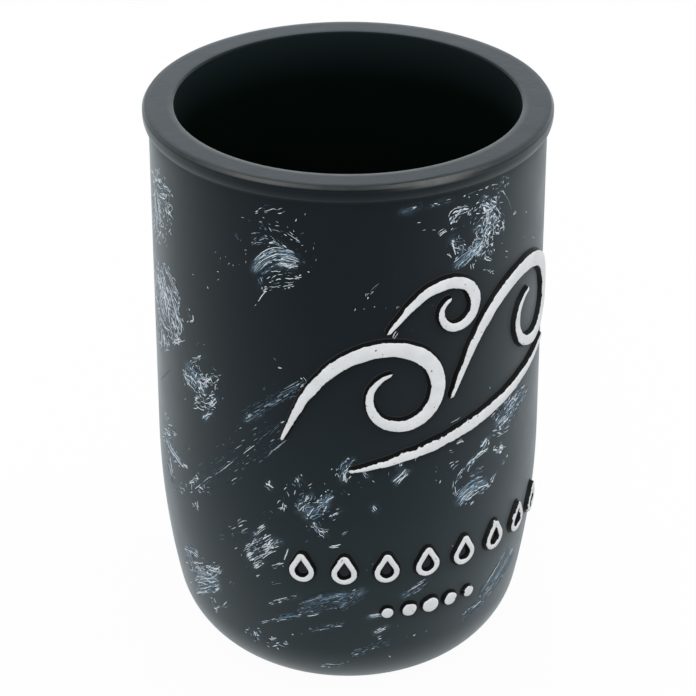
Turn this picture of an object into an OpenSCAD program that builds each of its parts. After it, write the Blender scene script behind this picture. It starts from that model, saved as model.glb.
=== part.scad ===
// Bathroom tumbler, cast in one piece with a rolled rim and a rounded lower
// end. A raised white ornament of water waves, drops and bubbles covers its
// front, and a soft pad is stuck into a recess under its base.
// The origin is at the centre of the base, on the surface that the tumbler
// stands on. +Z is up, and the ornament faces -Y. Lengths are in millimetres.

/* [Cup] */
// Height from the surface under the pad to the top of the rim
total_h = 111; // [95:0.5:130]
// Outer radius of the straight wall
wall_r = 36.4; // [33:0.1:40]
// Thickness of the cast wall
wall_t = 4.6; // [3.5:0.1:6]
// Thickness of the floor above the recess
floor_t = 5; // [3.5:0.1:7]
// Radius of the slow curve in which the straight wall starts to turn in
slow_r = 160; // [130:1:190]
// Angle that the slow curve turns through
slow_angle = 11.5; // [9:0.5:13]
// Radius of the tight curve that follows it
tight_r = 18; // [16:0.1:19]
// How much the flat base cuts off the bottom of the tight curve
foot_cut = 2.6; // [2:0.1:3.2]
// Rounding where the tight curve meets the flat base
foot_round = 1.2; // [0.6:0.1:2]
// Rounding inside, where the wall meets the floor
inner_round = 5; // [3:0.1:7]

/* [Rim] */
// How far the rim stands out from the wall
rim_out = 1.1; // [0.6:0.05:1.6]
// Height of the rim
rim_h = 3; // [2.4:0.1:4]
// Rounding of the upper outer edge of the rim
rim_top_round = 1.4; // [0.8:0.1:1.8]
// Rounding of the lower outer edge of the rim
rim_low_round = 0.45; // [0.2:0.05:0.5]
// Hollow rounding between the rim and the wall below it
rim_cove = 0.5; // [0.2:0.05:0.5]
// Rounding of the edge of the mouth
mouth_round = 0.4; // [0.2:0.05:0.8]

/* [Base pad] */
// Radius of the pad
pad_r = 20; // [14:0.5:21]
// Thickness of the pad
pad_t = 2; // [1.5:0.1:3]
// How far the pad stands out below the cup
pad_proud = 0.8; // [0.4:0.1:1.2]
// Space round the edge of the pad in its recess
pad_clearance = 0.4; // [0.2:0.1:1]
// Film of glue between the pad and the cup
glue_t = 0.1; // [0.05:0.05:0.2]

/* [Ornament] */
// How far the ornament stands out from the wall
relief_h = 1; // [0.6:0.05:1.05]
// How much each wave stroke widens from its top down to the wall, on each side
relief_flare = 0.25; // [0.1:0.05:0.3]
// Bevel along the upper edges of a wave stroke
stroke_bevel = 0.2; // [0.1:0.05:0.3]
// Width of the group of waves, measured round the wall
waves_w = 61; // [56:0.5:66]
// Height of the lower left tip of the waves
waves_low_h = 54; // [50:0.5:58]
// Widest width of the two large wave strokes
stroke_w = 3; // [2.2:0.1:3.2]
// Widest width of the small wave stroke and the stroke under the waves
thin_stroke_w = 2.3; // [1.6:0.1:2.6]
// Width of a stroke at its tips
tip_w = 0.5; // [0.3:0.05:0.8]
// Height of the middle of the row of drops
drops_h = 33; // [30:0.5:36]
// Spacing of the drops, measured round the wall
drops_pitch = 7.9; // [7:0.1:8.6]
// Height of one drop
drop_h = 7.2; // [6:0.1:8]
// Radius of the round end of a drop
drop_r = 2.4; // [2:0.1:2.8]
// Width of the raised outline of a drop
drop_line = 1.1; // [0.8:0.05:1.4]
// Height of the middle of the row of bubbles
bubbles_h = 22; // [19:0.5:24]
// Spacing of the bubbles, measured round the wall
bubbles_pitch = 4.4; // [4:0.1:5]
// How far the row of bubbles is moved to the left of the front
bubbles_left = 2.7; // [0:0.1:5]
// Radius of the largest bubble
bubble_r = 1.7; // [1.2:0.1:1.8]

/* [Hidden] */
// Smoothness of round shapes
$fn = 180;
// Overrun of cutting shapes
cut = 1;
// Space left between the ornament and the wall, so that the solids don't overlap
seat_gap = 0.05;
// Number of drops in the row
drop_count = 8;
// Number of bubbles in the row
bubble_count = 5;
// Pieces that each wave stroke is divided into along its length
stroke_steps = 90;

rim_r = wall_r + rim_out;
mouth_r = wall_r - wall_t;
rim_low = total_h - rim_h;
base_low = pad_proud;
recess_top = pad_t + glue_t;
floor_top = recess_top + floor_t;

// Centre of the tight curve, and height at which the straight wall ends. The
// slow curve's centre lies at that height.
slow_x = wall_r - slow_r;
tight_x = slow_x + (slow_r - tight_r) * cos(slow_angle);
tight_z = base_low + tight_r - foot_cut;
turn_h = tight_z + (slow_r - tight_r) * sin(slow_angle);

// Each stroke of the waves starts at a place across and up the group and has
// a length, all as shares of the group's width. Three angles give its direction
// there, how much it first turns up and how much it then curls over.
left_shares = [-0.51, 0.09, 1.15];
right_shares = [0, 0.205, 1.2];
small_shares = [-0.2, 0.455, 0.62];
sweep_shares = [-0.31, 0, 0.82];
large_curl_angles = [66, 40, 455];
small_curl_angles = [50, 60, 455];
sweep_curl_angles = [12, 8, 0];

// Half section of the cup's outside, or of its inside with the wall as inset,
// from a flat bottom at height low up to height top. Its shapes overlap each
// other, so that no film of wall is left where two curves meet.
module cup_section(inset, low, top, corner) {
    reach = wall_r - inset;
    tight = tight_r - inset;
    slow = slow_r - inset;
    join_z = turn_h - slow * sin(slow_angle);
    drop_z = tight_z - low - corner;
    away = tight - corner;
    corner_x = tight_x + sqrt(away * away - drop_z * drop_z);
    touch_z = tight_z - tight * drop_z / away;
    translate([0, turn_h]) square([reach, top - turn_h]);
    intersection() {
        translate([slow_x, turn_h]) circle(r = slow, $fn = 4 * $fn);
        translate([0, join_z]) square([reach + cut, turn_h - join_z + cut]);
    }
    intersection() {
        translate([tight_x, tight_z]) circle(r = tight);
        translate([0, touch_z]) square([reach, turn_h - touch_z]);
    }
    translate([0, low]) square([corner_x, turn_h - low + cut]);
    translate([corner_x, low + corner]) circle(r = corner);
}

// Half section of the rolled rim, with the hollow rounding below it
module rim_section() {
    top_x = rim_r - rim_top_round;
    top_z = total_h - rim_top_round;
    low_x = rim_r - rim_low_round;
    low_z = rim_low + rim_low_round;
    translate([mouth_r, rim_low]) square([low_x - mouth_r, top_z - rim_low]);
    translate([mouth_r, low_z]) square([rim_r - mouth_r, top_z - low_z]);
    translate([mouth_r, low_z]) square([top_x - mouth_r, total_h - low_z]);
    translate([top_x, top_z]) circle(r = rim_top_round);
    translate([low_x, low_z]) circle(r = rim_low_round);
    difference() {
        translate([mouth_r, rim_low - rim_cove]) square([wall_t + rim_cove, rim_cove + rim_low_round]);
        translate([wall_r + rim_cove, rim_low - rim_cove]) circle(r = rim_cove);
    }
}

module cup_body() {
    color("#3b4148") rotate_extrude() difference() {
        union() {
            cup_section(0, base_low, rim_low, foot_round);
            rim_section();
        }
        cup_section(wall_t, floor_top, total_h + cut, inner_round);
        difference() {
            translate([mouth_r, total_h - mouth_round]) square([mouth_round, mouth_round + cut]);
            translate([mouth_r + mouth_round, total_h - mouth_round]) circle(r = mouth_round);
        }
        square([pad_r + pad_clearance, recess_top]);
    }
}

module base_pad() {
    color("#1c1d1f") cylinder(r = pad_r, h = pad_t);
}

// Radius of the outside of the wall at a height, down to the end of its slow curve
function wall_at(height) =
    let (drop = max(0, turn_h - height))
    slow_x + sqrt(slow_r * slow_r - drop * drop);

// Angle round the cup of a place that is measured along the wall from the front
function angle_of(along) = along * 180 / (PI * wall_r);

// A point of the ornament, at a level above the wall
function on_wall(along, height, level) =
    let (radius = wall_at(height) + level)
    [radius * sin(angle_of(along)), -radius * cos(angle_of(along)), height];

// Direction of a stroke at t, from 0 at its first tip to 1 at its last
function heading(angles, t) = angles[0] + angles[1] * t - angles[2] * pow(t, 1.9);

// Middle line of a stroke, walked in equal steps from its first tip
function stroke_path(shares, angles) =
    let (step = shares[2] * waves_w / stroke_steps)
    [
        for (
            i = 0, p = [shares[0] * waves_w, waves_low_h + shares[1] * waves_w];
            i <= stroke_steps;
            i = i + 1,
            way = heading(angles, (i - 0.5) / stroke_steps),
            p = p + step * [cos(way), sin(way)]
        )
        p
    ];

// The six corners of a stroke's section: foot, side and top edge on each side
function stroke_ring(middle, way, width) =
    let (
        half = width / 2,
        bevel = min(stroke_bevel, half / 2),
        foot = half + relief_flare,
        offsets = [foot, half, half - bevel, bevel - half, -half, -foot],
        levels = [seat_gap, relief_h - bevel, relief_h, relief_h, relief_h - bevel, seat_gap]
    )
    [
        for (k = [0 : 5])
            let (place = middle + offsets[k] * [-sin(way), cos(way)])
            on_wall(place[0], place[1], levels[k])
    ];

// A raised brush stroke that follows the wall and swells between two pointed tips
module stroke(shares, angles, width) {
    corners = 6;
    last = stroke_steps * corners;
    path = stroke_path(shares, angles);
    points = [
        for (i = [0 : stroke_steps])
            let (t = i / stroke_steps)
            each stroke_ring(path[i], heading(angles, t), tip_w + (width - tip_w) * pow(sin(180 * t), 0.8))
    ];
    sides = [
        for (i = [0 : stroke_steps - 1])
            for (k = [0 : corners - 1])
                let (a = i * corners + k, b = i * corners + (k + 1) % corners)
                each [[a, b, b + corners], [a, b + corners, a + corners]]
    ];
    first_cap = [for (k = [1 : corners - 2]) [0, k + 1, k]];
    last_cap = [for (k = [1 : corners - 2]) [last, last + k, last + k + 1]];
    color("#e8ebee") polyhedron(points, concat(sides, first_cap, last_cap));
}

module wave_left() {
    stroke(left_shares, large_curl_angles, stroke_w);
}

module wave_right() {
    stroke(right_shares, large_curl_angles, stroke_w);
}

module wave_small() {
    stroke(small_shares, small_curl_angles, thin_stroke_w);
}

module sweep_line() {
    stroke(sweep_shares, sweep_curl_angles, thin_stroke_w);
}

// Layer on the outside of the wall that the drops and bubbles are cut from
module relief_layer() {
    rotate_extrude() difference() {
        cup_section(-relief_h, base_low, rim_low, foot_round);
        cup_section(-seat_gap, base_low, rim_low, foot_round);
    }
}

// Carries a flat shape out through the wall, at a place round the cup and a height
module out_through_wall(along, height) {
    rotate([0, 0, angle_of(along)])
        translate([0, -mouth_r + cut, height])
            rotate([90, 0, 0])
                linear_extrude(height = rim_r - mouth_r + 2 * cut) children();
}

// A drop with its round end down, centred on that end, with its tip at a height above it
module drop_shape(radius, tip) {
    touch_x = radius * sqrt(tip * tip - radius * radius) / tip;
    touch_y = radius * radius / tip;
    circle(r = radius);
    polygon([[-touch_x, touch_y], [touch_x, touch_y], [0, tip]]);
}

module drop_row() {
    tip = drop_h - drop_r;
    hollow_r = drop_r - drop_line;
    middle = (drop_count - 1) / 2;
    color("#e8ebee") intersection() {
        for (i = [0 : drop_count - 1])
            out_through_wall((i - middle) * drops_pitch, drops_h + drop_r - drop_h / 2)
                difference() {
                    drop_shape(drop_r, tip);
                    drop_shape(hollow_r, tip * hollow_r / drop_r);
                }
        relief_layer();
    }
}

// Bubbles that shrink from the middle of the row to its ends
module bubble_row() {
    middle = (bubble_count - 1) / 2;
    color("#e8ebee") intersection() {
        for (i = [0 : bubble_count - 1])
            out_through_wall((i - middle) * bubbles_pitch - bubbles_left, bubbles_h)
                circle(r = bubble_r * (1 - 0.15 * abs(i - middle)));
        relief_layer();
    }
}

cup_body();
base_pad();
wave_left();
wave_right();
wave_small();
sweep_line();
drop_row();
bubble_row();
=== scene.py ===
"""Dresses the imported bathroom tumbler: a dark cast-resin cup with dry-brushed paint
and a raised white ornament of waves, drops and bubbles. Lengths named here are in
millimetres, as on the drawing of the part, and become metres when a mesh is made."""
import random
from math import asin, atan2, cos, degrees, exp, hypot, pi, radians, sin, sqrt, tau

import bpy
import numpy as np
from mathutils import Matrix, Vector, noise


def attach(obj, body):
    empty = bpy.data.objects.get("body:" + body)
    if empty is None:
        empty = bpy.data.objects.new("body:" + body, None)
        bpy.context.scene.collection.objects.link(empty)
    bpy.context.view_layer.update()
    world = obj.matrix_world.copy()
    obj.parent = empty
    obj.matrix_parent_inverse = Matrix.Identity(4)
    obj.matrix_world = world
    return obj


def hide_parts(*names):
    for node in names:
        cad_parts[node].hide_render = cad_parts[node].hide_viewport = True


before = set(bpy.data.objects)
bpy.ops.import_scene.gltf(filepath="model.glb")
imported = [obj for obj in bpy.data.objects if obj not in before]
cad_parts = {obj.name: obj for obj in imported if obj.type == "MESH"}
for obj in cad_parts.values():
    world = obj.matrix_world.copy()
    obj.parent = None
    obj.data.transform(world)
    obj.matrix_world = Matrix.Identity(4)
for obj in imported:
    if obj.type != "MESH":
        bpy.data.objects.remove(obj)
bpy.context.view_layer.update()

MM = 0.001

# The cup's section, from the same sizes as the solids
TOTAL_H = 111
WALL_R = 36.4
WALL_T = 4.6
FLOOR_TOP = 7.1
SLOW_R = 160
SLOW_ANGLE = radians(11.5)
TIGHT_R = 18
BASE_LOW = 0.8
FOOT_CUT = 2.6
FOOT_ROUND = 1.2
INNER_ROUND = 5
RIM_R = 37.5
RIM_LOW = 108
RIM_CREST_R = 37
RIM_SLOPE = 0.45
RIM_SLOPE_H = 0.65
BEAD_LOW = 108.1
BEAD_SIDE = 109.5
BEAD_LEAN = 0.25
COVE_LOW = 107
RIM_TOP = 110.98
MOUTH_ROUND = 0.4
RECESS_R = 20.4
RECESS_TOP = 2.1
PAD_R = 20
PAD_T = 2
RELIEF_H = 1

MOUTH_R = WALL_R - WALL_T
SLOW_X = WALL_R - SLOW_R
TIGHT_X = SLOW_X + (SLOW_R - TIGHT_R) * cos(SLOW_ANGLE)
TIGHT_Z = BASE_LOW + TIGHT_R - FOOT_CUT
TURN_H = TIGHT_Z + (SLOW_R - TIGHT_R) * sin(SLOW_ANGLE)

# Finer shapes of the rim: the hollow under it, the roundings inside and outside the bead's
# lower edge, and how far the edges of its top are cut back
COVE_OUT = 0.24
COVE_H = 0.9
BEAD_IN = 0.2
BEAD_OUT = 0.1
CREST_EASE = 0.06

# Steps of the section's curves and straight parts, and sides of the round pieces
OUTSIDE_STEPS = (5, 18, 42)
INSIDE_STEPS = (7, 10, 14)
WALL_STEPS = 82
MOUTH_STEPS = 26
FLAT_STEPS = 8
COVE_STEPS = 7
BEAD_STEPS = 8
CUP_SIDES = 320
PAD_SIDES = 160
BUBBLE_SIDES = 48

# The camera, and the side of its square picture in pixels
PICTURE = 696
FOCAL_PX = 2872
CENTRE_X = 347.9
PITCH = radians(28.7)
SIGHT_RISE = radians(23.74)
SIGHT_LENGTH = 525
CAMERA_TURN = radians(30)

away = Vector((-sin(CAMERA_TURN), -cos(CAMERA_TURN), 0))
eye = away * SIGHT_LENGTH * cos(SIGHT_RISE)
eye.z = TOTAL_H + SIGHT_LENGTH * sin(SIGHT_RISE)
sight_right = Vector((cos(CAMERA_TURN), -sin(CAMERA_TURN), 0))
sight_ahead = -away * cos(PITCH) - Vector((0, 0, sin(PITCH)))
sight_up = sight_right.cross(sight_ahead)


# ---- shapes on the wall

AIM_ROUNDS = 8
AIM_LOW = 2


def wall_at(z):
    """Radius of the outside of the wall at a height, down into its tight curve."""
    join_z = TURN_H - SLOW_R * sin(SLOW_ANGLE)
    if z >= join_z:
        drop = max(0, TURN_H - z)
        return SLOW_X + sqrt(SLOW_R ** 2 - drop ** 2)
    drop = min(TIGHT_Z - z, TIGHT_R)
    return TIGHT_X + sqrt(TIGHT_R ** 2 - drop ** 2)


def on_wall(along, z, level):
    """A point at a level above the wall. along is measured round the wall from the front."""
    angle = along / WALL_R
    radius = wall_at(z) + level
    return (radius * sin(angle), -radius * cos(angle), z)


def from_photo(x, y):
    """Place on the wall that shows at a pixel of the picture, as (along, z). Beside the
    wall it is the place that is nearest, at height 0, where no paint goes."""
    ray = sight_ahead + sight_right * ((x - CENTRE_X) / FOCAL_PX)
    ray += sight_up * ((PICTURE / 2 - y) / FOCAL_PX)
    z = TOTAL_H / 2
    for _ in range(AIM_ROUNDS):
        radius = wall_at(min(max(z, AIM_LOW), RIM_LOW))
        a = ray.x ** 2 + ray.y ** 2
        b = eye.x * ray.x + eye.y * ray.y
        c = eye.x ** 2 + eye.y ** 2 - radius ** 2
        under_root = b * b - a * c
        hit = eye + ray * ((-b - sqrt(max(0, under_root))) / a)
        z = hit.z
    return (atan2(hit.x, -hit.y) * WALL_R, z if under_root > 0 else 0)


# ---- meshes

def placed(name, data):
    """A new object in the scene."""
    thing = bpy.data.objects.new(name, data)
    bpy.context.scene.collection.objects.link(thing)
    return thing


def make_piece(name, verts, faces, material, slot, sharp, **values):
    """A smooth mesh piece on the root body, with one value of each kind at every point.
    Edges that turn by more than sharp degrees stay sharp."""
    mesh = bpy.data.meshes.new(name)
    mesh.from_pydata([[c * MM for c in v] for v in verts], [], faces)
    mesh.update()
    for kind, data in values.items():
        layer = mesh.attributes.new(kind, "FLOAT", "POINT")
        layer.data.foreach_set("value", data)
    mesh.polygons.foreach_set("use_smooth", [True] * len(mesh.polygons))
    mesh.set_sharp_from_angle(angle=radians(sharp))
    mesh.materials.append(material)
    piece = placed(name, mesh)
    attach(piece, "root")
    return piece


def ring_faces(first, rings, count):
    """Faces of a closed skin: a point, rings of count points each, and a last point."""
    start = first + 1
    faces = [(first, start + (k + 1) % count, start + k) for k in range(count)]
    for _ in range(rings - 1):
        for k in range(count):
            a, b = start + k, start + (k + 1) % count
            faces.append((a, b, b + count, a + count))
        start += count
    last = start + count
    return faces + [(last, start + k, start + (k + 1) % count) for k in range(count)]


def arc(x, z, radius, start, end, steps):
    """Points of an arc of the section, after its first point. Angles are in degrees."""
    points = []
    for i in range(1, steps + 1):
        a = radians(start + (end - start) * i / steps)
        points.append((x + radius * cos(a), z + radius * sin(a)))
    return points


def line(start, end, steps):
    """Points of a straight part of the section, after its first point."""
    return [(start[0] + (end[0] - start[0]) * i / steps,
             start[1] + (end[1] - start[1]) * i / steps) for i in range(1, steps + 1)]


def curved_end(inset, low, corner, steps):
    """Section from the flat bottom at height low up to where the straight wall starts."""
    tight = TIGHT_R - inset
    drop = TIGHT_Z - low - corner
    reach = sqrt((tight - corner) ** 2 - drop ** 2)
    touch = -degrees(atan2(drop, reach))
    slow = -degrees(SLOW_ANGLE)
    points = [(TIGHT_X + reach, low)]
    points += arc(TIGHT_X + reach, low + corner, corner, -90, touch, steps[0])
    points += arc(TIGHT_X, TIGHT_Z, tight, touch, slow, steps[1])
    points += arc(SLOW_X, TURN_H, SLOW_R - inset, slow, 0, steps[2])
    return points


def cup_section():
    """The whole section, from the middle of the recess round to the middle of the floor."""
    section = [(0, RECESS_TOP)]

    def on_to(x, z, steps):
        section.extend(line(section[-1], (x, z), steps))

    on_to(RECESS_R, RECESS_TOP, FLAT_STEPS)
    on_to(RECESS_R, BASE_LOW, 2)
    outer = curved_end(0, BASE_LOW, FOOT_ROUND, OUTSIDE_STEPS)
    on_to(*outer[0], 3)
    section += outer[1:]
    on_to(WALL_R, COVE_LOW, WALL_STEPS)
    for i in range(1, COVE_STEPS + 1):
        section.append((WALL_R + COVE_OUT * (i / COVE_STEPS) ** 2,
                        COVE_LOW + COVE_H * i / COVE_STEPS))
    section += arc(section[-1][0] + BEAD_IN, BEAD_LOW - BEAD_IN, BEAD_IN, 165, 90, 5)
    lip_x = RIM_R - BEAD_LEAN - BEAD_OUT
    lip_z = BEAD_LOW + BEAD_OUT
    section.append((lip_x, BEAD_LOW))
    section += arc(lip_x, lip_z, BEAD_OUT, -90, -20, 4)
    side_h = BEAD_SIDE - BEAD_LOW - BEAD_OUT
    for i in range(1, BEAD_STEPS + 1):
        section.append((RIM_R - BEAD_LEAN * (1 - i / BEAD_STEPS) ** 2,
                        lip_z + side_h * i / BEAD_STEPS))
    slope_z = TOTAL_H - RIM_SLOPE_H
    on_to(RIM_R, slope_z - CREST_EASE, 5)
    section += line((RIM_CREST_R + RIM_SLOPE, slope_z),
                    (RIM_CREST_R + CREST_EASE, RIM_TOP - CREST_EASE), 3)
    section.append((RIM_CREST_R - CREST_EASE, RIM_TOP))
    mouth_x = MOUTH_R + MOUTH_ROUND
    on_to(mouth_x, RIM_TOP, 5)
    section += arc(mouth_x, RIM_TOP - MOUTH_ROUND, MOUTH_ROUND, 90, 180, 5)
    inner = curved_end(WALL_T, FLOOR_TOP, INNER_ROUND, INSIDE_STEPS)
    on_to(*inner[-1], MOUTH_STEPS)
    section += inner[-2::-1]
    on_to(0, FLOOR_TOP, FLAT_STEPS)
    return section


def lathe(section, count):
    """Turns a section whose ends lie on the axis into a closed mesh."""
    verts = [(0, 0, section[0][1])]
    for radius, z in section[1:-1]:
        for k in range(count):
            a = tau * k / count
            verts.append((radius * sin(a), -radius * cos(a), z))
    verts.append((0, 0, section[-1][1]))
    return verts, ring_faces(0, len(section) - 2, count)


# ---- materials

RESIN_DEEP = (0.0024, 0.0062, 0.0092)
RESIN_PLAIN = (0.0036, 0.008, 0.0116)
RESIN_PAINTED_BOUNCE = (0.016, 0.025, 0.028)
RESIN_STAIN = (0.13, 0.2, 0.26)
RESIN_WEAR_AND_GLINT = (0.155, 0.157, 0.152)
SHEEN = {"Sheen Weight": 0.48, "Sheen Roughness": 0.475, "Sheen Tint": (0.84, 0.95, 1, 1)}
INSIDE_DEEP = (0.001, 0.0044, 0.0028)
INSIDE_PAINTED_LIGHT = (0.011, 0.0175, 0.0185)
PAINT_DARK = (0.0012, 0.0016, 0.002)
PAINT_THIN = (0.03, 0.055, 0.085)
PAINT_BLUE = (0.16, 0.285, 0.4)
PAINT_WHITE = (0.86, 0.93, 0.98)
RELIEF_DULL = (0.83, 0.85, 0.86)
RELIEF_WHITE = (0.93, 0.94, 0.945)
RELIEF_PIT = (0.05, 0.06, 0.07)
RELIEF_SIDE = (0.0016, 0.0022, 0.0026)
RELIEF_FOOT_GLINT = (0.05, 0.046, 0.04)
FOAM_DARK = (0.006, 0.006, 0.007)
FOAM_PALE = (0.016, 0.016, 0.018)

# Heights in metres between which the painted light from the floor on the lower wall fades out,
# the rim's unevenness sets in and the inside is painted lighter towards the mouth
PAINTED_BOUNCE_FADE = (0.01, 0.09)
RIM_FADE = (0.1085, 0.1105)
PAINTED_MOUTH_LIGHT_FADE = (0.1, 0.1108)


class Nodes:
    """Short calls for building the nodes of a material or of the world."""

    def __init__(self, owner):
        self.owner = owner
        owner.use_nodes = True
        self.nodes = owner.node_tree.nodes
        self.nodes.clear()

    def add(self, kind, inputs, **settings):
        """A node. inputs holds a value or a socket to link for each of its inputs."""
        node = self.nodes.new(kind)
        for key, value in settings.items():
            setattr(node, key, value)
        for key, value in inputs.items():
            if isinstance(value, bpy.types.NodeSocket):
                self.owner.node_tree.links.new(value, node.inputs[key])
            else:
                node.inputs[key].default_value = value
        return node

    def place(self):
        return self.add("ShaderNodeTexCoord", {}).outputs["Object"]

    def noise(self, scale, detail, rough=0.55):
        """Noise with scale grains to the metre. Most of it lies between 0.3 and 0.7."""
        inputs = {"Vector": self.place(), "Scale": scale, "Detail": detail, "Roughness": rough}
        return self.add("ShaderNodeTexNoise", inputs).outputs["Fac"]

    def cloud(self, scale, detail, low, high):
        """Noise that goes from low to high."""
        return self.between(self.noise(scale, detail), 0.3, 0.7, low, high)

    def height(self):
        """How far up the piece a point is, in metres."""
        return self.add("ShaderNodeSeparateXYZ", {0: self.place()}).outputs["Z"]

    def value(self, name):
        return self.add("ShaderNodeAttribute", {}, attribute_name=name).outputs["Fac"]

    def math(self, operation, a, b):
        return self.add("ShaderNodeMath", {0: a, 1: b}, operation=operation).outputs["Value"]

    def between(self, value, low, high, to_low=0, to_high=1):
        """Maps low..high to to_low..to_high with soft ends."""
        inputs = {"Value": value, "From Min": low, "From Max": high,
                  "To Min": to_low, "To Max": to_high}
        node = self.add("ShaderNodeMapRange", inputs, interpolation_type="SMOOTHSTEP")
        return node.outputs["Result"]

    def mix(self, share, a, b):
        a, b = (c if isinstance(c, bpy.types.NodeSocket) else (*c, 1) for c in (a, b))
        return self.add("ShaderNodeMix", {0: share, 6: a, 7: b}, data_type="RGBA").outputs[2]

    def bump(self, height, depth_mm, strength, below=None):
        inputs = {"Height": height, "Distance": depth_mm * MM, "Strength": strength}
        if below:
            inputs["Normal"] = below
        return self.add("ShaderNodeBump", inputs).outputs["Normal"]

    def finish(self, colour, roughness, normal, specular, **more):
        inputs = {"Base Color": colour, "Roughness": roughness, "Normal": normal,
                  "Specular IOR Level": specular, **more}
        shader = self.add("ShaderNodeBsdfPrincipled", inputs)
        self.add("ShaderNodeOutputMaterial", {"Surface": shader.outputs[0]})
        return self.owner

    def show(self, usual, seen, most, output):
        """Lights the scene with one shader and shows the camera, a reflection or a clear
        piece another. most is how much of that one they see."""
        path = self.add("ShaderNodeLightPath", {}).outputs
        share = self.math("MAXIMUM", path["Is Camera Ray"], path["Is Glossy Ray"])
        share = self.math("MAXIMUM", share, path["Is Transmission Ray"])
        shaders = {0: self.math("MULTIPLY", share, most), 1: usual.outputs[0], 2: seen.outputs[0]}
        self.add(output, {"Surface": self.add("ShaderNodeMixShader", shaders).outputs[0]})
        return self.owner


def resin_material():
    n = Nodes(bpy.data.materials.new("charcoal_resin"))
    tint = n.mix(n.between(n.noise(45, 3), 0.35, 0.65), RESIN_DEEP, RESIN_PLAIN)
    # Painted light: the wall is painted paler towards the bottom, standing in for light thrown up
    # from the floor
    tint = n.mix(n.between(n.height(), *PAINTED_BOUNCE_FADE, 1, 0), tint, RESIN_PAINTED_BOUNCE)
    streak = n.between(n.noise(420, 4, 0.65), 0.36, 0.62)
    colour = n.mix(n.math("MULTIPLY", n.value("haze"), streak), tint, RESIN_STAIN)
    chipped = n.between(n.noise(300, 4), 0.25, 0.6, 0.7, 1)
    # Paler rim edges: a painted highlight on the mouth's near side, and worn paint on the crest and
    # bead
    colour = n.mix(n.math("MULTIPLY", n.value("worn"), chipped), colour, RESIN_WEAR_AND_GLINT)
    rim = n.math("MULTIPLY", n.noise(210, 4, 0.6), n.between(n.height(), *RIM_FADE))
    normal = n.bump(rim, depth_mm=0.16, strength=0.5)
    normal = n.bump(n.noise(260, 3), depth_mm=0.02, strength=0.4, below=normal)
    normal = n.bump(n.noise(1700, 2), depth_mm=0.006, strength=0.5, below=normal)
    return n.finish(colour, n.cloud(120, 4, 0.32, 0.42), normal, specular=0.05, **SHEEN)


def inside_material():
    n = Nodes(bpy.data.materials.new("black_inside"))
    # Painted light and shade: the inside is painted lighter near the mouth, where light falls in,
    # and darker deep down in its shade
    colour = n.mix(n.between(n.height(), *PAINTED_MOUTH_LIGHT_FADE), INSIDE_DEEP, INSIDE_PAINTED_LIGHT)
    normal = n.bump(n.noise(700, 3), depth_mm=0.01, strength=0.4)
    return n.finish(colour, n.cloud(90, 4, 0.55, 0.7), normal, specular=0.04)


def paint_material():
    n = Nodes(bpy.data.materials.new("dry_brushed_paint"))
    tone = n.math("ADD", n.value("tone"), n.cloud(2600, 2, -0.15, 0.15))
    dark = n.mix(n.between(tone, -0.3, 0.1), PAINT_DARK, PAINT_THIN)
    middle = n.mix(n.between(tone, 0, 0.5), dark, PAINT_BLUE)
    colour = n.mix(n.between(tone, 0.45, 1.05), middle, PAINT_WHITE)
    normal = n.bump(n.noise(2200, 3), depth_mm=0.01, strength=0.5)
    return n.finish(colour, n.cloud(900, 2, 0.55, 0.7), normal, specular=0.3)


def relief_material():
    n = Nodes(bpy.data.materials.new("white_relief"))
    ragged = n.between(n.noise(70, 2), 0.5, 0.66, 0.16, 0.5)
    grain = n.math("SUBTRACT", n.noise(900, 3), 0.5)
    grain = n.math("MULTIPLY", grain, n.math("MULTIPLY", ragged, 4))
    painted = n.between(n.math("ADD", n.value("top"), grain), 0.42, 0.52)
    shade = n.cloud(350, 4, 0, 1)
    white = n.mix(shade, RELIEF_DULL, RELIEF_WHITE)
    white = n.mix(n.between(n.noise(1500, 2), 0.7, 0.74), white, RELIEF_PIT)
    # Painted highlight: a pale line on the foot fillet where the upper side faces the light
    foot_glint = n.between(n.value("top"), -0.9, -0.1, 1, 0)
    colour = n.mix(painted, n.mix(foot_glint, RELIEF_SIDE, RELIEF_FOOT_GLINT), white)
    normal = n.bump(n.noise(1100, 4), depth_mm=0.02, strength=0.6)
    return n.finish(colour, n.between(shade, 0, 1, 0.5, 0.62), normal, specular=0.2)


def foam_material():
    n = Nodes(bpy.data.materials.new("black_foam"))
    cells = n.add("ShaderNodeTexVoronoi", {"Vector": n.place(), "Scale": 2400})
    size = n.between(cells.outputs["Distance"], 0.1, 0.7)
    colour = n.mix(size, FOAM_DARK, FOAM_PALE)
    normal = n.bump(size, depth_mm=0.05, strength=0.8)
    return n.finish(colour, n.between(size, 0, 1, 0.85, 0.7), normal, specular=0.25)


resin = resin_material()
inside = inside_material()
paint = paint_material()
relief = relief_material()
foam = foam_material()


# ---- dry-brushed paint

# A pixel of the picture on the front of the wall, and how far up and down the brush went
PIXEL = 0.17
LOWEST_PAINT = 2.5
HIGHEST_PAINT = 107.3

# The layers of a stroke: how far apart in pixels its strands lie, and how wide and how high
# they are. A stroke without a core has only the last one
BRISTLE_GAP = 1.3
UNDER_LAYER = (2.6, 0.45, 0.014)
DARK_LAYER = (2.6, 0.17, 0.024)
TOP_LAYER = (BRISTLE_GAP, 0.105, 0.035)
SPARSE_LAYER = (1.4 * BRISTLE_GAP, 0.105, 0.035)

# What the layers under a stroke take of its width, cover, tone and wobble
UNDER_WIDTH = 0.8
UNDER_COVER = 0.8
UNDER_TONE = 0.7
UNDER_WOBBLE = 0.6
DARK_WIDTH = 0.9
DARK_COVER = 0.75
DARK_TONE = -0.5
TOP_TONE = 1.3

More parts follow.
